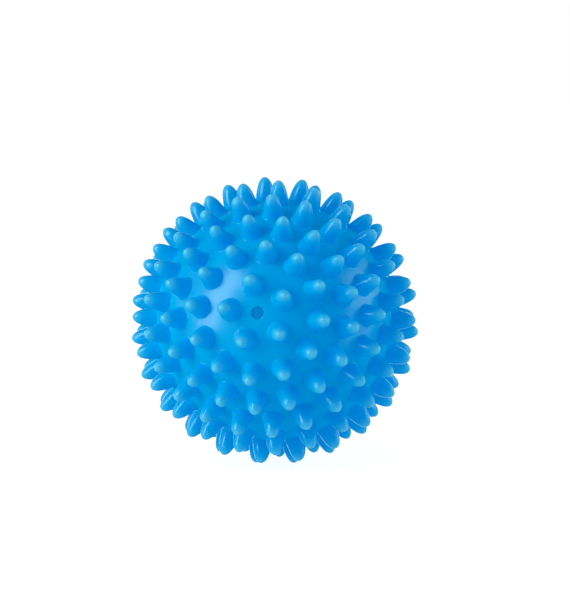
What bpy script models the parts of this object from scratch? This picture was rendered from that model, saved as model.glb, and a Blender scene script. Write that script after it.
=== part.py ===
"""Spiky massage ball: a hollow, air-filled soft PVC ball with moulded-in spikes
and a push-in inflation valve.

Three pieces:
  ball_shell    one-piece rotocast skin, every spike moulded in, with an internal
                boss around the valve hole
  valve_socket  soft moulded insert bonded into the boss, with the needle bore
  valve_plug    push-in stopper whose flat head is the small disc on the skin

All lengths are in metres, +Z up.  The origin is the centre of the ball.  The ball
stands on the tips of three neighbouring spikes, and the valve faces -Y and a
little upwards.

The pieces are modelled in the valve frame, with the valve axis along +Z and the
ball's centre at the origin.  Their parent, ball_centre, turns them to stand.

The spikes follow the rule of the two-part mould: on each half, rings of spikes
run around the valve axis, evenly spaced in each ring.  The rear half is the front
half mirrored in the parting plane and turned by a small angle about the axis.
"""
import math

import bmesh
import bpy
from mathutils import Matrix, Vector

MM = 0.001
VALVE_AXIS = Vector((0.0, 0.0, 1.0))


def height_on_sphere(sphere_radius, ring_radius):
    """Height above the centre of a ring that lies on a sphere."""
    return math.sqrt(sphere_radius ** 2 - ring_radius ** 2)


# ---------------------------------------------------------------- dimensions
# Heights are measured from the centre of the ball along the valve or spike axis.

# skin
TIP_RADIUS = 37.5 * MM        # centre of the ball to the spike tips (75 mm ball)
BODY_RADIUS = 31.6 * MM       # outside of the skin between the spikes
WALL = 2.2 * MM
INNER_RADIUS = BODY_RADIUS - WALL
INNER_STEPS = 13              # bands of the inner wall from the boss to the rear pole

# spike rings of the front half of the mould:
# (angle from the valve axis, number of spikes, angle of the first one), degrees
FRONT_RINGS = (
    (13.1, 5, 29.0),
    (28.1, 12, 23.4),
    (41.7, 17, 13.1),
    (55.3, 21, 0.5),
    (69.9, 23, 7.5),
    (83.2, 23, 15.4),
)
REAR_TURN_DEG = -3.9          # how far the rear half is turned about the axis

# the ball stands on these spikes: (ring from the valve, spike), both counted from 0
SUPPORT_SPIKES = ((6, 16), (6, 17), (7, 17))

# spikes
SPIKE_SIDES = 6
FOOT_RADIUS = 2.95 * MM
FOOT_HEIGHT = height_on_sphere(BODY_RADIUS, FOOT_RADIUS)
# spike outline above the foot: (share of the spike's height, radius)
SPIKE_OUTLINE = ((0.27, 2.55 * MM), (0.65, 2.10 * MM), (1.0, 0.95 * MM))

# valve hole and boss
ROUND_SIDES = 24              # sides of the turned shapes round the valve
HOLE_RADIUS = 1.75 * MM       # hole through the skin
RIM_HEIGHT = height_on_sphere(BODY_RADIUS, HOLE_RADIUS)
SHOULDER_HEIGHT = 29.0 * MM   # inside face of the skin at the valve
BOSS_BORE_RADIUS = 3.7 * MM
BOSS_RADIUS = 5.6 * MM
BOSS_END = 21.0 * MM          # inner end of the boss

GAP = 0.3 * MM                # clearance between neighbouring pieces

# valve socket
SOCKET_TOP = SHOULDER_HEIGHT - GAP
SOCKET_RADIUS = BOSS_BORE_RADIUS - GAP
FLANGE_TOP = BOSS_END - GAP
FLANGE_RADIUS = 4.9 * MM
FLANGE_THICKNESS = 1.2 * MM
NEEDLE_BORE_RADIUS = 1.1 * MM

# valve plug
PLUG_RECESS = 0.3 * MM        # depth of the head's face below the body sphere
PLUG_TOP = BODY_RADIUS - PLUG_RECESS
HEAD_RADIUS = HOLE_RADIUS - GAP
HEAD_CHAMFER = 0.2 * MM
STEM_RADIUS = NEEDLE_BORE_RADIUS - GAP
STEM_END = 20.1 * MM
STEM_END_RADIUS = 0.4 * MM
STEM_TAPER = 1.0 * MM         # length of the taper at the stem's end

SHARP_ANGLE_DEG = 40.0        # edges steeper than this are shaded sharp


# ------------------------------------------------------------------- pattern
def ring_directions(polar_deg, count, start_deg):
    """Unit vectors evenly spaced round the valve axis, at one angle from it."""
    polar = math.radians(polar_deg)
    directions = []
    for i in range(count):
        azimuth = math.radians(start_deg + 360.0 * i / count)
        directions.append(Vector((math.sin(polar) * math.cos(azimuth),
                                  math.sin(polar) * math.sin(azimuth),
                                  math.cos(polar))))
    return directions


def spike_rings():
    """Unit directions of all the spikes, one list for each ring, from the valve
    to the rear pole."""
    front = [ring_directions(*ring) for ring in FRONT_RINGS]
    rear = [ring_directions(180.0 - polar, count, start + REAR_TURN_DEG)
            for polar, count, start in reversed(FRONT_RINGS)]
    return front + rear


def standing_rotation(rings):
    """Rotation from the valve frame to the standing ball: the three support tips
    lie in one level plane below it, and the valve axis points to -Y in plan."""
    first, second, third = (rings[ring][spike] for ring, spike in SUPPORT_SPIKES)
    up = (second - first).cross(third - first).normalized()
    if up.dot(first) > 0:
        up.negate()
    right = up.cross(VALVE_AXIS).normalized()
    back = up.cross(right)
    return Matrix((right, back, up))


# --------------------------------------------------------------- mesh helpers
def valve_ring(shape, radius, height):
    """Circle of vertices round the valve axis."""
    angles = [2 * math.pi * k / ROUND_SIDES for k in range(ROUND_SIDES)]
    return [shape.verts.new((radius * math.cos(angle), radius * math.sin(angle), height))
            for angle in angles]


def spike_ring(shape, direction, radius, height):
    """Polygon of vertices round a spike's own axis."""
    side = VALVE_AXIS.cross(direction).normalized()
    other = direction.cross(side)
    angles = [2 * math.pi * k / SPIKE_SIDES for k in range(SPIKE_SIDES)]
    return [shape.verts.new(direction * height
                            + (side * math.cos(angle) + other * math.sin(angle)) * radius)
            for angle in angles]


def bridge(shape, ring, next_ring):
    """Band of quads between two rings with the same number of vertices."""
    for k in range(len(ring)):
        after = (k + 1) % len(ring)
        shape.faces.new((ring[k], ring[after], next_ring[after], next_ring[k]))


def fan(shape, ring, tip):
    """Triangles from a ring to one vertex."""
    for k in range(len(ring)):
        shape.faces.new((ring[k], ring[(k + 1) % len(ring)], tip))


def turned_piece(outline, origin_height, closed=False):
    """Solid of revolution from (radius, height) pairs, top to bottom: closed by
    flat ends, or by joining its last ring to its first.  Its own origin is on
    the valve axis at origin_height."""
    shape = bmesh.new()
    loops = [valve_ring(shape, radius, height - origin_height) for radius, height in outline]
    for ring, next_ring in zip(loops, loops[1:]):
        bridge(shape, ring, next_ring)
    if closed:
        bridge(shape, loops[-1], loops[0])
    else:
        shape.faces.new(loops[0])
        shape.faces.new(loops[-1])
    return shape


# -------------------------------------------------------------- ball shell
def add_outer_skin(shape, feet, rim):
    """Skin between the spikes: the hull through the spike feet, the rim of the
    valve hole and the rear pole, left open inside each foot and the rim."""
    rear_pole = shape.verts.new((0.0, 0.0, -BODY_RADIUS))
    owner = {}
    for number, group in enumerate([*feet, rim, [rear_pole]]):
        for vert in group:
            owner[vert] = number
    bmesh.ops.convex_hull(shape, input=list(shape.verts), use_existing_faces=False)

    covers = [face for face in shape.faces if len({owner[vert] for vert in face.verts}) == 1]
    bmesh.ops.delete(shape, geom=covers, context="FACES_ONLY")
    loose_edges = [edge for edge in shape.edges if not edge.link_faces]
    bmesh.ops.delete(shape, geom=loose_edges, context="EDGES")


def add_spike(shape, direction, foot):
    """Spike that narrows from its foot to a small flat tip."""
    ring = foot
    for share, radius in SPIKE_OUTLINE:
        height = FOOT_HEIGHT + share * (TIP_RADIUS - FOOT_HEIGHT)
        next_ring = spike_ring(shape, direction, radius, height)
        bridge(shape, ring, next_ring)
        ring = next_ring
    shape.faces.new(ring)


def add_inner_surface(shape, rim):
    """Hole through the skin, bore and end of the boss, its outside, and the
    inner wall."""
    outline = [(HOLE_RADIUS, SHOULDER_HEIGHT), (BOSS_BORE_RADIUS, SHOULDER_HEIGHT),
               (BOSS_BORE_RADIUS, BOSS_END), (BOSS_RADIUS, BOSS_END)]
    start = math.asin(BOSS_RADIUS / INNER_RADIUS)
    for k in range(INNER_STEPS):
        polar = start + (math.pi - start) * k / INNER_STEPS
        outline.append((INNER_RADIUS * math.sin(polar), INNER_RADIUS * math.cos(polar)))

    ring = rim
    for radius, height in outline:
        next_ring = valve_ring(shape, radius, height)
        bridge(shape, ring, next_ring)
        ring = next_ring
    fan(shape, ring, shape.verts.new((0.0, 0.0, -INNER_RADIUS)))


def build_shell(rings):
    shape = bmesh.new()
    directions = [direction for ring in rings for direction in ring]
    feet = [spike_ring(shape, direction, FOOT_RADIUS, FOOT_HEIGHT)
            for direction in directions]
    rim = valve_ring(shape, HOLE_RADIUS, RIM_HEIGHT)
    add_outer_skin(shape, feet, rim)
    for direction, foot in zip(directions, feet):
        add_spike(shape, direction, foot)
    add_inner_surface(shape, rim)
    return shape


# -------------------------------------------------------------------- valve
def build_socket():
    """Insert with a flange at the boss's end and a through bore.  Its own origin
    is at the top of the bore."""
    bottom = FLANGE_TOP - FLANGE_THICKNESS
    outline = [(NEEDLE_BORE_RADIUS, SOCKET_TOP),
               (SOCKET_RADIUS, SOCKET_TOP),
               (SOCKET_RADIUS, FLANGE_TOP),
               (FLANGE_RADIUS, FLANGE_TOP),
               (FLANGE_RADIUS, bottom),
               (NEEDLE_BORE_RADIUS, bottom)]
    return turned_piece(outline, SOCKET_TOP, closed=True)


def build_plug():
    """Stopper: flat round head in the skin's hole, stem in the needle bore.
    Its own origin is the centre of the head's outer face."""
    outline = [(HEAD_RADIUS - HEAD_CHAMFER, PLUG_TOP),
               (HEAD_RADIUS, PLUG_TOP - HEAD_CHAMFER),
               (HEAD_RADIUS, SHOULDER_HEIGHT),
               (STEM_RADIUS, SHOULDER_HEIGHT),
               (STEM_RADIUS, STEM_END + STEM_TAPER),
               (STEM_END_RADIUS, STEM_END)]
    return turned_piece(outline, PLUG_TOP)


# -------------------------------------------------------------------- scene
def make_material(name, color, roughness):
    mat = bpy.data.materials.new(name)
    mat.use_nodes = True
    shader = mat.node_tree.nodes["Principled BSDF"]
    shader.inputs["Base Color"].default_value = (*color, 1.0)
    shader.inputs["Roughness"].default_value = roughness
    shader.inputs["Metallic"].default_value = 0.0
    mat.diffuse_color = (*color, 1.0)
    return mat


def add_centre(rings):
    """Empty at the centre of the ball that turns the pieces to stand."""
    centre = bpy.data.objects.new("ball_centre", None)
    bpy.context.scene.collection.objects.link(centre)
    centre.rotation_mode = "QUATERNION"
    centre.rotation_quaternion = standing_rotation(rings).to_quaternion()
    return centre


def add_object(name, shape, mat, parent, height=0.0):
    """Turn a bmesh into an object whose origin is at a height on the valve axis."""
    bmesh.ops.recalc_face_normals(shape, faces=shape.faces)
    if shape.calc_volume(signed=True) < 0:
        bmesh.ops.reverse_faces(shape, faces=shape.faces)
    mesh = bpy.data.meshes.new(name)
    shape.to_mesh(mesh)
    shape.free()
    mesh.shade_smooth()
    mesh.set_sharp_from_angle(angle=math.radians(SHARP_ANGLE_DEG))
    mesh.materials.append(mat)
    obj = bpy.data.objects.new(name, mesh)
    bpy.context.scene.collection.objects.link(obj)
    obj.parent = parent
    obj.location = (0.0, 0.0, height)


def main():
    for obj in list(bpy.data.objects):
        bpy.data.objects.remove(obj, do_unlink=True)

    rings = spike_rings()
    centre = add_centre(rings)

    skin = make_material("pvc_blue", color=(0.0, 0.33, 0.80), roughness=0.38)
    insert = make_material("pvc_soft_insert", color=(0.03, 0.36, 0.78), roughness=0.5)
    stopper = make_material("pvc_plug", color=(0.0, 0.24, 0.68), roughness=0.45)

    add_object("ball_shell", build_shell(rings), skin, centre)
    add_object("valve_socket", build_socket(), insert, centre, height=SOCKET_TOP)
    add_object("valve_plug", build_plug(), stopper, centre, height=PLUG_TOP)
    bpy.context.view_layer.update()


main()
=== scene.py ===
"""Spiky PVC massage ball with an inflation valve.

The ball's centre is the origin. Its pieces are modelled in a valve frame, with the valve
axis along +Z, and then turned to stand on three spikes: the valve then faces the front (-Y),
tilted a little upwards. Lengths with no other note are in mm; MM turns them into metres.
"""
import math

import bmesh
import bpy
import numpy as np
from mathutils import Matrix, Vector


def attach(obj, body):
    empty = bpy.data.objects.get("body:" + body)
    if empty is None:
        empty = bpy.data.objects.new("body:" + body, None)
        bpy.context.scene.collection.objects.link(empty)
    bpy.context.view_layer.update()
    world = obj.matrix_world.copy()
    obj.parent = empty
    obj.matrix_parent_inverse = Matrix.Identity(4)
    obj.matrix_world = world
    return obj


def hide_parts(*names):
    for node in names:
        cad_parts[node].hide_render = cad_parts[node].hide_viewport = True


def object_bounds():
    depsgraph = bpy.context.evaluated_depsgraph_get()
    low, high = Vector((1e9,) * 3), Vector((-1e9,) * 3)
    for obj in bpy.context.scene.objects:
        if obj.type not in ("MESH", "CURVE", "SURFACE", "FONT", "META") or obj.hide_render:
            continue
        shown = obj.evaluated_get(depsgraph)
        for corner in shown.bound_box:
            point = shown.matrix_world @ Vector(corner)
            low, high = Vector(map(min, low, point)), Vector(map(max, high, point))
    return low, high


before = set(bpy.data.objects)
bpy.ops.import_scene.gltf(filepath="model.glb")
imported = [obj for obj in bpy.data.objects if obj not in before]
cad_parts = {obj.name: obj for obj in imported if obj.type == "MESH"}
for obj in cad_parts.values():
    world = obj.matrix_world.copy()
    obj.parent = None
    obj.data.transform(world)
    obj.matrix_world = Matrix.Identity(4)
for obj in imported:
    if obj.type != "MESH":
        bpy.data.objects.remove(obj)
CAD_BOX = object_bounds()
MM = 0.001

# ------------------------------------------------------------------ the design
TIP_MM = 37.5                 # ball centre to spike tip
BODY_MM = 31.6                # outside of the skin between the spikes
INNER_MM = 29.4               # inside of the skin
TIP = TIP_MM * MM
BODY = BODY_MM * MM

# spike rings of the half with the valve, as in the CAD:
# angle from the valve axis, count, angle of the first spike (degrees)
RINGS = (
    (13.1, 5, 29.0),
    (28.1, 12, 23.4),
    (41.7, 17, 13.1),
    (55.3, 21, 0.5),
    (69.9, 23, 7.5),
    (83.2, 23, 15.4),
)
REAR_TURN = -3.9              # the other half mirrors it, turned by this (degrees)
# spikes the ball stands on: ring counted from 1 at the valve, place in the ring from 0
SUPPORT = ((7, 16), (7, 17), (8, 17))

SPIKE_SIDES = 28
FLANK_A = 1.49                # flank radius = FLANK_A * depth ** FLANK_P,
FLANK_P = 0.340               # with the depth measured below the tip
FLANK_STEPS = 14
FLANK_CROWDING = 2.2          # power that draws the flank's rings towards the tip
TIP_EASE = 0.30               # the end is drawn in from that rule by this share,
TIP_EASE_DEPTH = 0.5          # down to about this depth
FOOT_RISE = 0.6               # height of the foot's sweep above the body
FOOT_SPREAD = 0.50            # how far it spreads beyond the flank
FOOT_POWER = 2.6
FOOT_OWN = 3.35               # the spike's own mesh reaches this far from its axis
SWEEP_STEPS = 8
SWEEP_CROWDING = 1.6          # power that draws the sweep's rings towards the flank
NEAR_COS = 0.985              # only spikes within this cosine can raise a point

FILL_COUNT = 30000            # points over the whole sphere, before the spikes are cleared
FILL_SPIKE_GAP = 0.22         # kept free around each spike's own mesh
FILL_RIM_GAP = 0.2            # kept free around the valve hole

VALVE_SIDES = 56
LIP_R = 1.50                  # valve hole
LIP_ROUND = 0.28              # rounding of its edge
LIP_STEPS = 6
BOSS_ROOT_R = 6.3             # where the boss meets the inside of the ball
INNER_STEPS = 40
# (radius, height along the valve axis) down the bore and around the hollow boss
BORE_AND_BOSS = (
    (LIP_R, 30.5), (LIP_R, 29.15), (LIP_R + 0.15, 29.0), (3.55, 29.0), (3.7, 28.85),
    (3.7, 24.9), (3.7, 21.2), (3.9, 21.0), (5.4, 21.0), (5.6, 21.2), (5.6, 24.9), (5.6, 28.0),
)

# turned outlines of the valve's parts: (radius, height along the valve axis)
TURNED_SIDES = 64
PLUG_OUTLINE = (
    (0.30, 31.3), (1.48, 31.3), (1.48, 29.0), (0.8, 29.0), (0.8, 21.0), (0.45, 20.1), (0.1, 20.1),
)
SOCKET_OUTLINE = (
    (1.1, 26.4), (1.1, 28.7), (3.4, 28.7), (3.4, 20.7), (4.9, 20.7), (4.9, 19.5), (1.1, 19.5),
    (1.1, 25.4),
)


# ------------------------------------------------------------- spike placement
def spike_ring(theta, count, start):
    """Unit directions of a ring of spikes; angles in degrees."""
    theta = math.radians(theta)
    turns = [math.radians(start + 360.0 * i / count) for i in range(count)]
    return [np.array([math.sin(theta) * math.cos(phi),
                      math.sin(theta) * math.sin(phi),
                      math.cos(theta)]) for phi in turns]


def standing_rotation(rings):
    """Rotation from the valve frame to the part's frame."""
    a, b, c = (Vector(rings[ring - 1][i]) for ring, i in SUPPORT)
    down = (b - a).cross(c - a).normalized()
    if down.dot(a) < 0:
        down = -down
    up = -down
    right = up.cross(Vector((0.0, 0.0, 1.0))).normalized()
    return Matrix((right, up.cross(right), up))


SPIKE_RINGS = [spike_ring(*ring) for ring in RINGS]
SPIKE_RINGS += [spike_ring(180.0 - theta, count, start + REAR_TURN)
                for theta, count, start in reversed(RINGS)]
STAND = standing_rotation(SPIKE_RINGS)
SPIKE_AXES = np.array([axis for ring in SPIKE_RINGS for axis in ring])


# ---------------------------------------------------------------- spike shape
def flank(depth):
    """Radius of a spike at a depth below its tip."""
    return FLANK_A * depth ** FLANK_P * (1.0 - TIP_EASE * math.exp(-depth / TIP_EASE_DEPTH))


FLANK_DEPTH = TIP_MM - BODY_MM - FOOT_RISE
FLANK_FOOT = flank(FLANK_DEPTH)
FOOT_OUT = FLANK_FOOT + FOOT_SPREAD


def foot_height(distance):
    """Height of one spike's foot above the body at a distance from its axis."""
    t = np.clip((FOOT_OUT - distance) / FOOT_SPREAD, 0.0, 1.0)
    return FOOT_RISE * t ** FOOT_POWER


def skin_height(points, leave_out=None):
    """Height of the skin above the body at unit directions: the feet of all the
    spikes together, without those of spike leave_out."""
    heights = np.zeros(len(points))
    for k, cosines in enumerate(points @ SPIKE_AXES.T):
        for j in np.nonzero(cosines > NEAR_COS)[0]:
            if j != leave_out:
                sine = math.sqrt(max(0.0, 1.0 - cosines[j] ** 2))
                heights[k] += foot_height(sine * BODY_MM)
    return heights


def flank_profile():
    """(radius, height above the ball's centre) of the flank, a blunt ogive, from
    where the foot begins up to just under the tip."""
    depths = [FLANK_DEPTH * (1.0 - i / FLANK_STEPS) ** FLANK_CROWDING
              for i in range(FLANK_STEPS)]
    return [(flank(depth), TIP_MM - depth) for depth in depths]


def spike_spokes(axis):
    """Unit vectors square to a spike's axis, one for each of its sides."""
    side = np.cross([0.0, 0.0, 1.0], axis)
    side /= np.linalg.norm(side)
    other = np.cross(axis, side)
    turns = [2 * math.pi * k / SPIKE_SIDES for k in range(SPIKE_SIDES)]
    return [side * math.cos(t) + other * math.sin(t) for t in turns]


def directions_around(axis, spokes, distance):
    """Unit directions of the body's points at a distance from a spike's axis."""
    angle = math.asin(distance / BODY_MM)
    return np.array([axis * math.cos(angle) + spoke * math.sin(angle) for spoke in spokes])


# --------------------------------------------------------------- mesh helpers
def circle(bm, radius, height, sides):
    """Ring of vertices about the valve axis; radius and height in metres."""
    turns = [2 * math.pi * k / sides for k in range(sides)]
    return [bm.verts.new((radius * math.cos(t), radius * math.sin(t), height)) for t in turns]


def bridge(bm, lower, upper):
    n = len(lower)
    for k in range(n):
        bm.faces.new((lower[k], lower[(k + 1) % n], upper[(k + 1) % n], upper[k]))


def close_to_point(bm, loop, place):
    """Fan of triangles from a ring to a point, in metres."""
    hub = bm.verts.new(place)
    n = len(loop)
    for k in range(n):
        bm.faces.new((loop[k], loop[(k + 1) % n], hub))


def new_object(name, bm, material):
    """Object from a mesh made in the valve frame, turned to stand."""
    bmesh.ops.recalc_face_normals(bm, faces=bm.faces)
    if bm.calc_volume(signed=True) < 0:
        bmesh.ops.reverse_faces(bm, faces=bm.faces)
    mesh = bpy.data.meshes.new(name)
    bm.to_mesh(mesh)
    bm.free()
    mesh.transform(STAND.to_4x4())
    mesh.shade_smooth()
    mesh.materials.append(material)
    obj = bpy.data.objects.new(name, mesh)
    bpy.context.scene.collection.objects.link(obj)
    return obj


# ------------------------------------------------------------------- the skin
RIM_R = (LIP_R + LIP_ROUND) * MM              # rim of the valve hole, metres
RIM_HEIGHT = math.sqrt(BODY ** 2 - RIM_R ** 2)
RIM_OWNER = len(SPIKE_AXES)                   # owners below this are spikes


def fill_directions():
    """Evenly spread directions in the gaps between the spikes and the valve rim."""
    spike_clear = math.cos(math.asin((FOOT_OWN + FILL_SPIKE_GAP) * MM / BODY))
    rim_clear = math.cos(math.asin(RIM_R / BODY) + FILL_RIM_GAP * MM / BODY)
    golden = math.pi * (3 - math.sqrt(5))
    i = np.arange(FILL_COUNT)
    z = 1 - (2 * i + 1) / FILL_COUNT
    radius = np.sqrt(1 - z * z)
    fill = np.stack([radius * np.cos(golden * i), radius * np.sin(golden * i), z], 1)
    return fill[((fill @ SPIKE_AXES.T).max(1) < spike_clear) & (fill[:, 2] < rim_clear)]


def hull_skin(bm, owner):
    """Faces of the hull over all the vertices in bm, without the faces that only
    close a ring (all corners with one owner)."""
    bmesh.ops.convex_hull(bm, input=list(bm.verts), use_existing_faces=False)
    closing = []
    for face in bm.faces:
        owners = {owner[v] for v in face.verts}
        if len(owners) == 1 and None not in owners:
            closing.append(face)
    bmesh.ops.delete(bm, geom=closing, context="FACES_ONLY")
    stray = [edge for edge in bm.edges if not edge.link_faces]
    bmesh.ops.delete(bm, geom=stray, context="EDGES")


def raise_skin(bm, owner):
    """Lifts the skin where the feet of the spikes spread into it."""
    verts = list(bm.verts)
    unit = np.array([v.co for v in verts])
    unit /= np.linalg.norm(unit, axis=1)[:, None]
    for v, direction, height in zip(verts, unit, skin_height(unit)):
        if owner[v] != RIM_OWNER:
            v.co = direction * (BODY + height * MM)


def add_spike(bm, n, spokes, foot):
    """Spike n upwards from its outermost ring: the foot's sweep, the flank, the tip."""
    axis = SPIKE_AXES[n]
    lower = foot
    steps = 1 - np.arange(1, SWEEP_STEPS) / SWEEP_STEPS
    for distance in FLANK_FOOT + (FOOT_OWN - FLANK_FOOT) * steps ** SWEEP_CROWDING:
        directions = directions_around(axis, spokes, distance)
        own = foot_height(distance)
        upper = [bm.verts.new(direction * (BODY + (own + extra) * MM))
                 for direction, extra in zip(directions, skin_height(directions, n))]
        bridge(bm, lower, upper)
        lower = upper
    for radius, height in flank_profile():
        upper = [bm.verts.new((axis * height + spoke * radius) * MM) for spoke in spokes]
        bridge(bm, lower, upper)
        lower = upper
    close_to_point(bm, lower, axis * TIP)


def inner_profile():
    """(radius, height) from the rim over the lip, bore and boss to the ball's inside."""
    rim_top = RIM_HEIGHT / MM
    profile = []
    for k in range(1, LIP_STEPS + 1):
        angle = math.pi / 2 * k / LIP_STEPS
        profile.append((LIP_R + LIP_ROUND * (1 - math.sin(angle)),
                        rim_top - LIP_ROUND * (1 - math.cos(angle))))
    profile += BORE_AND_BOSS
    start = math.asin(BOSS_ROOT_R / INNER_MM)
    for k in range(INNER_STEPS):
        theta = start + (math.pi - start) * k / INNER_STEPS
        profile.append((INNER_MM * math.sin(theta), INNER_MM * math.cos(theta)))
    return profile


def build_skin(material):
    bm = bmesh.new()
    # what each vertex belongs to: a spike, the valve rim, or None in the gaps
    owner = {}
    spokes = [spike_spokes(axis) for axis in SPIKE_AXES]
    feet = []
    for n, axis in enumerate(SPIKE_AXES):
        foot = [bm.verts.new(p * BODY) for p in directions_around(axis, spokes[n], FOOT_OWN)]
        owner.update(dict.fromkeys(foot, n))
        feet.append(foot)
    rim = circle(bm, RIM_R, RIM_HEIGHT, VALVE_SIDES)
    owner.update(dict.fromkeys(rim, RIM_OWNER))
    for direction in fill_directions():
        owner[bm.verts.new(direction * BODY)] = None
    hull_skin(bm, owner)
    raise_skin(bm, owner)
    for n, foot in enumerate(feet):
        add_spike(bm, n, spokes[n], foot)
    lower = rim
    for radius, height in inner_profile():
        upper = circle(bm, radius * MM, height * MM, VALVE_SIDES)
        bridge(bm, lower, upper)
        lower = upper
    close_to_point(bm, lower, (0, 0, -INNER_MM * MM))
    return new_object("ball_skin", bm, material)


# ------------------------------------------------------------ plug and socket
def rounded(outline, radius, steps):
    """Softens the corners of a turned outline."""
    points = [np.array(p, float) for p in outline]
    soft = [points[0]]
    for before, corner, after in zip(points, points[1:], points[2:]):
        to_before, to_after = before - corner, after - corner
        length_before, length_after = np.linalg.norm(to_before), np.linalg.norm(to_after)
        reach = min(radius, length_before * 0.4, length_after * 0.4)
        start = corner + to_before / length_before * reach
        end = corner + to_after / length_after * reach
        for k in range(steps + 1):
            t = k / steps
            soft.append((1 - t) ** 2 * start + 2 * (1 - t) * t * corner + t * t * end)
    soft.append(points[-1])
    return soft


def turned_solid(name, outline, material, closed=False):
    """Solid turned about the valve axis. A closed outline makes a ring; an open one
    gets flat ends."""
    bm = bmesh.new()
    loops = [circle(bm, radius * MM, height * MM, TURNED_SIDES) for radius, height in outline]
    for lower, upper in zip(loops, loops[1:]):
        bridge(bm, lower, upper)
    if closed:
        bridge(bm, loops[-1], loops[0])
    else:
        for end in (0, -1):
            close_to_point(bm, loops[end], (0, 0, outline[end][1] * MM))
    return new_object(name, bm, material)


# --------------------------------------------------------------- node helpers
def feed(tree, node, inputs):
    """Links or sets each named input of a node."""
    for key, source in inputs.items():
        if isinstance(source, bpy.types.NodeSocket):
            tree.links.new(source, node.inputs[key])
        else:
            node.inputs[key].default_value = source


def add_node(tree, kind, inputs, **settings):
    node = tree.nodes.new("ShaderNode" + kind)
    for key, setting in settings.items():
        setattr(node, key, setting)
    feed(tree, node, inputs)
    return node


def mix(tree, data_type, factor, a, b):
    """Output of a Mix node: a at factor 0, b at factor 1."""
    in_a, in_b, out = {"FLOAT": (2, 3, 0), "RGBA": (6, 7, 2)}[data_type]
    node = add_node(tree, "Mix", {0: factor, in_a: a, in_b: b}, data_type=data_type)
    return node.outputs[out]


def map_range(tree, value, interpolation="LINEAR", **ends):
    """Output of a Map Range node; from_min=... sets its "From Min", and so on."""
    inputs = {key.replace("_", " ").title(): level for key, level in ends.items()}
    node = add_node(tree, "MapRange", {"Value": value, **inputs},
                    interpolation_type=interpolation)
    return node.outputs["Result"]


def math_node(tree, operation, a, b):
    return add_node(tree, "Math", {0: a, 1: b}, operation=operation).outputs[0]


def noise(tree, coord, scale, detail):
    inputs = {"Vector": coord, "Scale": scale, "Detail": detail}
    return add_node(tree, "TexNoise", inputs).outputs["Fac"]


def centre_distance(tree, coord):
    """Distance from the ball's centre, metres."""
    return add_node(tree, "VectorMath", {0: coord}, operation="LENGTH").outputs["Value"]


def float_curve(tree, value, start, end, between):
    """Curve from (0, start) to (1, end) through the points between."""
    node = add_node(tree, "FloatCurve", {"Value": value})
    points = node.mapping.curves[0].points
    points[0].location = (0.0, start)
    points[1].location = (1.0, end)
    for place, level in between:
        points.new(place, level)
    node.mapping.update()
    return node.outputs["Value"]


def principled(name):
    material = bpy.data.materials.new(name)
    material.use_nodes = True
    tree = material.node_tree
    return material, tree, tree.nodes["Principled BSDF"]


# ------------------------------------------------------------------ materials
# colour of the spike ends: rubbed pale wear with a painted highlight on it
TIP_WEAR_AND_GLINT_COLOR = (0.105, 0.645, 1.0, 1)
TIP_ROUGHNESS = 0.19
BETWEEN_ROUGHNESS = 0.235     # the skin between the spikes


def pale_tip_and_glint_color(tree, coord, color):
    """The very ends of the spikes are paler: partly rubbed pale, partly a painted highlight,
    brightest in the middle.
    """
    tip_nearness = map_range(tree, centre_distance(tree, coord), from_min=0.0346, from_max=TIP)
    # mask of the pale ends: wear with a painted highlight, strongest at the very tip
    wear_and_glint = float_curve(tree, tip_nearness, start=0.0, end=1.0,
                       between=((0.45, 0.17), (0.72, 0.38), (0.86, 0.56), (0.95, 0.80)))
    return mix(tree, "RGBA", wear_and_glint, color, TIP_WEAR_AND_GLINT_COLOR)


def spiky_gloss(tree, coord, gloss, roughness):
    """The tips and the skin between the spikes are matter than the flanks."""
    tips = map_range(tree, centre_distance(tree, coord), from_min=0.0335, from_max=0.0368,
                     to_max=TIP_ROUGHNESS - roughness)
    gloss = math_node(tree, "ADD", gloss, tips)
    between = map_range(tree, centre_distance(tree, coord), from_min=0.0317, from_max=0.0335,
                        to_min=BETWEEN_ROUGHNESS - roughness, to_max=0.0)
    return math_node(tree, "ADD", gloss, between)


def spiky_specular(tree, coord, specular):
    """The hollows at the feet of the spikes are dull. Seen at a slant, the skin
    between the spikes mirrors only the spikes."""
    height = map_range(tree, centre_distance(tree, coord), from_min=0.03162, from_max=TIP)
    dull = float_curve(tree, height, start=specular, end=specular,
                       between=((0.05, 0.25 * specular), (0.18, 0.25 * specular),
                                (0.30, specular)))
    slant = add_node(tree, "LayerWeight", {"Blend": 0.5}).outputs["Facing"]
    shade = map_range(tree, slant, from_min=0.42, from_max=0.72, to_min=1.0, to_max=0.2)
    above = map_range(tree, height, from_min=0.18, from_max=0.30)
    level = mix(tree, "FLOAT", above, shade, 1.0)
    return math_node(tree, "MULTIPLY", dull, level)


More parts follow.
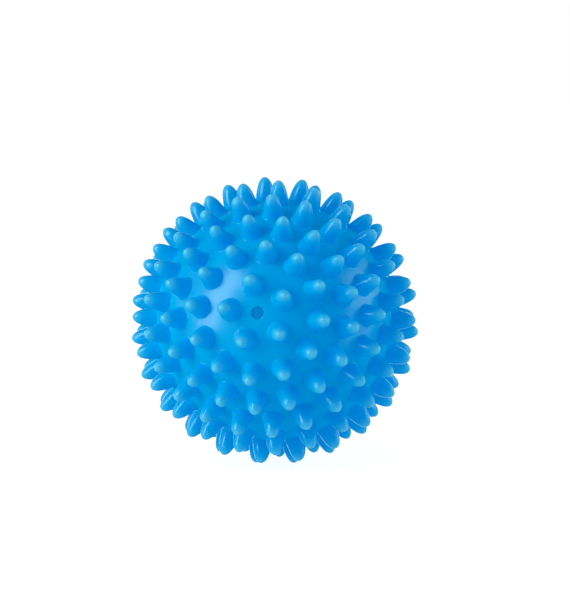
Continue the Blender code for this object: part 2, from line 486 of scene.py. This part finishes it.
def pvc(name, color, deep_color, roughness, subsurface=0.12, specular=0.5, spiky=False):
    """Soft moulded PVC: slight unevenness of colour and gloss, fine orange-peel
    relief and a trace of light passing through."""
    material, tree, shader = principled(name)
    coord = add_node(tree, "TexCoord", {}).outputs["Object"]
    cloud = noise(tree, coord, scale=90.0, detail=3.0)
    patches = map_range(tree, cloud, from_min=0.35, from_max=0.75)
    tone = mix(tree, "RGBA", patches, (*color, 1), (*deep_color, 1))
    if spiky:
        # paler spike ends: partly wear, partly a painted highlight
        tone = pale_tip_and_glint_color(tree, coord, tone)
    smear = noise(tree, coord, scale=260.0, detail=4.0)
    gloss = map_range(tree, smear, to_min=roughness - 0.02, to_max=roughness + 0.02)
    if spiky:
        gloss = spiky_gloss(tree, coord, gloss, roughness)
    peel = noise(tree, coord, scale=900.0, detail=2.0)
    relief = add_node(tree, "Bump", {"Strength": 0.25, "Distance": 0.00002, "Height": peel})
    if spiky:
        specular = spiky_specular(tree, coord, specular)
    feed(tree, shader, {
        "Base Color": tone,
        "Roughness": gloss,
        "Normal": relief.outputs["Normal"],
        "IOR": 1.5,
        "Specular IOR Level": specular,
        "Specular Tint": (0.8, 1.0, 0.97, 1),
        "Subsurface Weight": subsurface,
        "Subsurface Radius": (0.35, 0.9, 1.6),
        "Subsurface Scale": MM,
    })
    return material


def floor_material():
    """Nearly pure white to the camera, with a trace of shadow where the ball stands."""
    material, tree, shader = principled("pale_floor")
    path = add_node(tree, "LightPath", {})
    glow = mix(tree, "FLOAT", path.outputs["Is Camera Ray"], 0.54, 0.90)
    feed(tree, shader, {
        "Base Color": (0.3, 0.3, 0.3, 1),
        "Roughness": 0.9,
        "Specular IOR Level": 0.0,
        "Emission Color": (1, 1, 1, 1),
        "Emission Strength": glow,
    })
    return material


SKIN = pvc("pvc_skin", color=(0.0, 0.475, 1.0), deep_color=(0.0, 0.45, 0.98), roughness=0.16,
           subsurface=0.3, spiky=True)
PLUG = pvc("pvc_plug", color=(0.0, 0.28, 0.78), deep_color=(0.0, 0.265, 0.75), roughness=0.5,
           specular=0.25)
SOCKET = pvc("pvc_socket", color=(0.02, 0.30, 0.68), deep_color=(0.02, 0.27, 0.64),
             roughness=0.45)

# --------------------------------------------------------------------- pieces
skin = build_skin(SKIN)
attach(skin, "ball")
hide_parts("ball_shell")

plug = turned_solid("inflation_plug", rounded(PLUG_OUTLINE, radius=0.1, steps=4), PLUG)
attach(plug, "plug")
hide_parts("valve_plug")

socket = turned_solid("socket_insert", rounded(SOCKET_OUTLINE, radius=0.2, steps=3), SOCKET,
                      closed=True)
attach(socket, "ball")
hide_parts("valve_socket")


# ---------------------------------------------------------------------- stage
def build_floor():
    bm = bmesh.new()
    bmesh.ops.create_grid(bm, x_segments=2, y_segments=2, size=4.0)
    mesh = bpy.data.meshes.new("floor")
    bm.to_mesh(mesh)
    bm.free()
    mesh.materials.append(floor_material())
    obj = bpy.data.objects.new("floor", mesh)
    obj.location = (0, 0, CAD_BOX[0][2])
    obj.visible_glossy = False
    bpy.context.scene.collection.objects.link(obj)
    return obj


build_floor()

# --------------------------------------------------------------------- camera
AZIMUTH = math.radians(7.917)         # to the right of the front
ELEVATION = math.radians(7.611)
ROLL = math.radians(-0.814)
CAMERA_DISTANCE = 20 * TIP

# the camera's axes: back points from the ball to the camera
back = Vector((math.sin(AZIMUTH) * math.cos(ELEVATION),
               -math.cos(AZIMUTH) * math.cos(ELEVATION),
               math.sin(ELEVATION)))
level_right = Vector((math.cos(AZIMUTH), math.sin(AZIMUTH), 0.0))
right = level_right * math.cos(ROLL) + back.cross(level_right) * math.sin(ROLL)
up = back.cross(right)


def placement(x_axis, y_axis, z_axis, place):
    """World matrix from three axes and a position in metres."""
    return Matrix((*zip(x_axis, y_axis, z_axis, place), (0, 0, 0, 1)))


def build_camera():
    data = bpy.data.cameras.new("camera")
    data.sensor_width = 36.0
    data.lens = 172.68
    data.shift_x = 0.01725
    data.shift_y = 0.0345
    data.clip_start = 0.01
    data.clip_end = 20.0
    obj = bpy.data.objects.new("camera", data)
    obj.matrix_world = placement(right, up, back, [part * CAMERA_DISTANCE for part in back])
    bpy.context.scene.collection.objects.link(obj)
    bpy.context.scene.camera = obj


build_camera()

# ---------------------------------------------------------------------- light
# what the glossy skin mirrors: a tall leaning strip at the left, and dimmer windows
# at the right and a little behind the ball on both sides
MIRROR_DISTANCE = 0.9
# name, azimuth, elevation (degrees), width, height (m), radiance, turn (degrees)
MIRRORS = (
    ("left_strip", -57, 17, 0.31, 0.98, 4.4, -24.0),
    ("left_back_window", -105, 14, 0.40, 0.40, 0.8, 0.0),
    ("right_window", 92, 18, 0.42, 0.45, 1.35, 0.0),
    ("right_low_window", 86, -6, 0.55, 0.38, 0.9, 0.0),
    ("right_back_window", 115, 18, 0.40, 0.40, 0.8, 0.0),
)
# the light that shapes the spikes: the same columns, then the tint
LAMP_DISTANCE = 1.0
LAMPS = (
    ("key", -57, 17, 0.44, 1.08, 2.35, -20.0, (1.0, 1.0, 0.62)),
    ("side_key", -68, 18, 0.8, 0.8, 1.15, 0.0, (1.0, 1.0, 0.60)),
    ("upper_key", -40, 45, 0.8, 0.8, 0.40, 0.0, (1.0, 0.9, 1.0)),
    ("lower_key", -40, -25, 0.8, 0.8, 0.42, 0.0, (1.0, 1.0, 0.50)),
    ("right_fill", 60, 10, 0.8, 0.8, 0.48, 0.0, (1.0, 0.95, 1.0)),
    ("right_back", 100, 15, 0.8, 0.8, 1.65, 0.0, (1.0, 1.0, 0.48)),
    ("front_fill", 0, 5, 0.8, 0.8, 0.17, 0.0, (0.0, 0.0, 1.0)),
)


def view_direction(azimuth, elevation):
    """Direction at an azimuth to the right of the camera's axis and an elevation."""
    a, e = math.radians(azimuth), math.radians(elevation)
    return (right * (math.sin(a) * math.cos(e)) + up * math.sin(e)
            + back * (math.cos(a) * math.cos(e))).normalized()


def softbox(name, azimuth, elevation, width, height, radiance, turn, tint=(1, 1, 1), *,
            distance, seen_by):
    """Rectangular softbox that faces the ball, seen by "diffuse" or "glossy" rays
    only. A radiance of 1 shows as white. The width runs level and the height
    upwards, turned about the line to the ball."""
    data = bpy.data.lights.new(name, "AREA")
    data.shape = "RECTANGLE"
    data.size = width
    data.size_y = height
    data.energy = radiance * math.pi * width * height
    data.color = tint
    obj = bpy.data.objects.new(name, data)
    z = view_direction(azimuth, elevation).normalized()
    x = up.cross(z).normalized()
    y = z.cross(x)
    c, s = math.cos(math.radians(turn)), math.sin(math.radians(turn))
    obj.matrix_world = placement(x * c + y * s, y * c - x * s, z, z * distance)
    obj.visible_diffuse = seen_by == "diffuse"
    obj.visible_glossy = seen_by == "glossy"
    bpy.context.scene.collection.objects.link(obj)


for mirror in MIRRORS:
    softbox(*mirror, distance=MIRROR_DISTANCE, seen_by="glossy")
for lamp in LAMPS:
    softbox(*lamp, distance=LAMP_DISTANCE, seen_by="diffuse")

# ---------------------------------------------------------------------- world
AMBIENT = 0.455               # even soft light on diffuse surfaces
GLOSS_FRONT = 0.0             # reflections of the studio in front of the backdrop
GLOSS_BEHIND = 2.6            # reflections of the backdrop
ROOM_TINT = (0.72, 0.77, 1.03, 1)
BACKDROP_TINT = (1, 1, 1, 1)


def studio_world():
    """White backdrop behind the ball, with the dark of the studio in front of it in
    reflections and an even soft light everywhere else."""
    world = bpy.data.worlds.new("studio")
    bpy.context.scene.world = world
    world.use_nodes = True
    # reached only by the rays of each surface, so that what a ray sees follows its kind
    world.cycles.sampling_method = "NONE"
    tree = world.node_tree
    path = add_node(tree, "LightPath", {})
    to_camera = path.outputs["Is Camera Ray"]
    tone = mix(tree, "RGBA", to_camera, ROOM_TINT, BACKDROP_TINT)
    coord = add_node(tree, "TexCoord", {}).outputs["Generated"]
    facing = add_node(tree, "VectorMath", {0: coord, 1: back}, operation="DOT_PRODUCT")
    mirrored = map_range(tree, facing.outputs["Value"], interpolation="SMOOTHSTEP",
                         from_min=-0.76, from_max=-0.97,
                         to_min=GLOSS_FRONT, to_max=GLOSS_BEHIND)
    indirect = mix(tree, "FLOAT", path.outputs["Is Glossy Ray"], AMBIENT, mirrored)
    strength = mix(tree, "FLOAT", to_camera, indirect, 1.0)
    feed(tree, tree.nodes["Background"], {"Color": tone, "Strength": strength})


studio_world()

view = bpy.context.scene.view_settings
view.view_transform = "Standard"
view.look = "None"
# this blue is purer than the screen's own: red ends below black
view.use_curve_mapping = True
view.curve_mapping.black_level = (0.009, 0.0, 0.0)
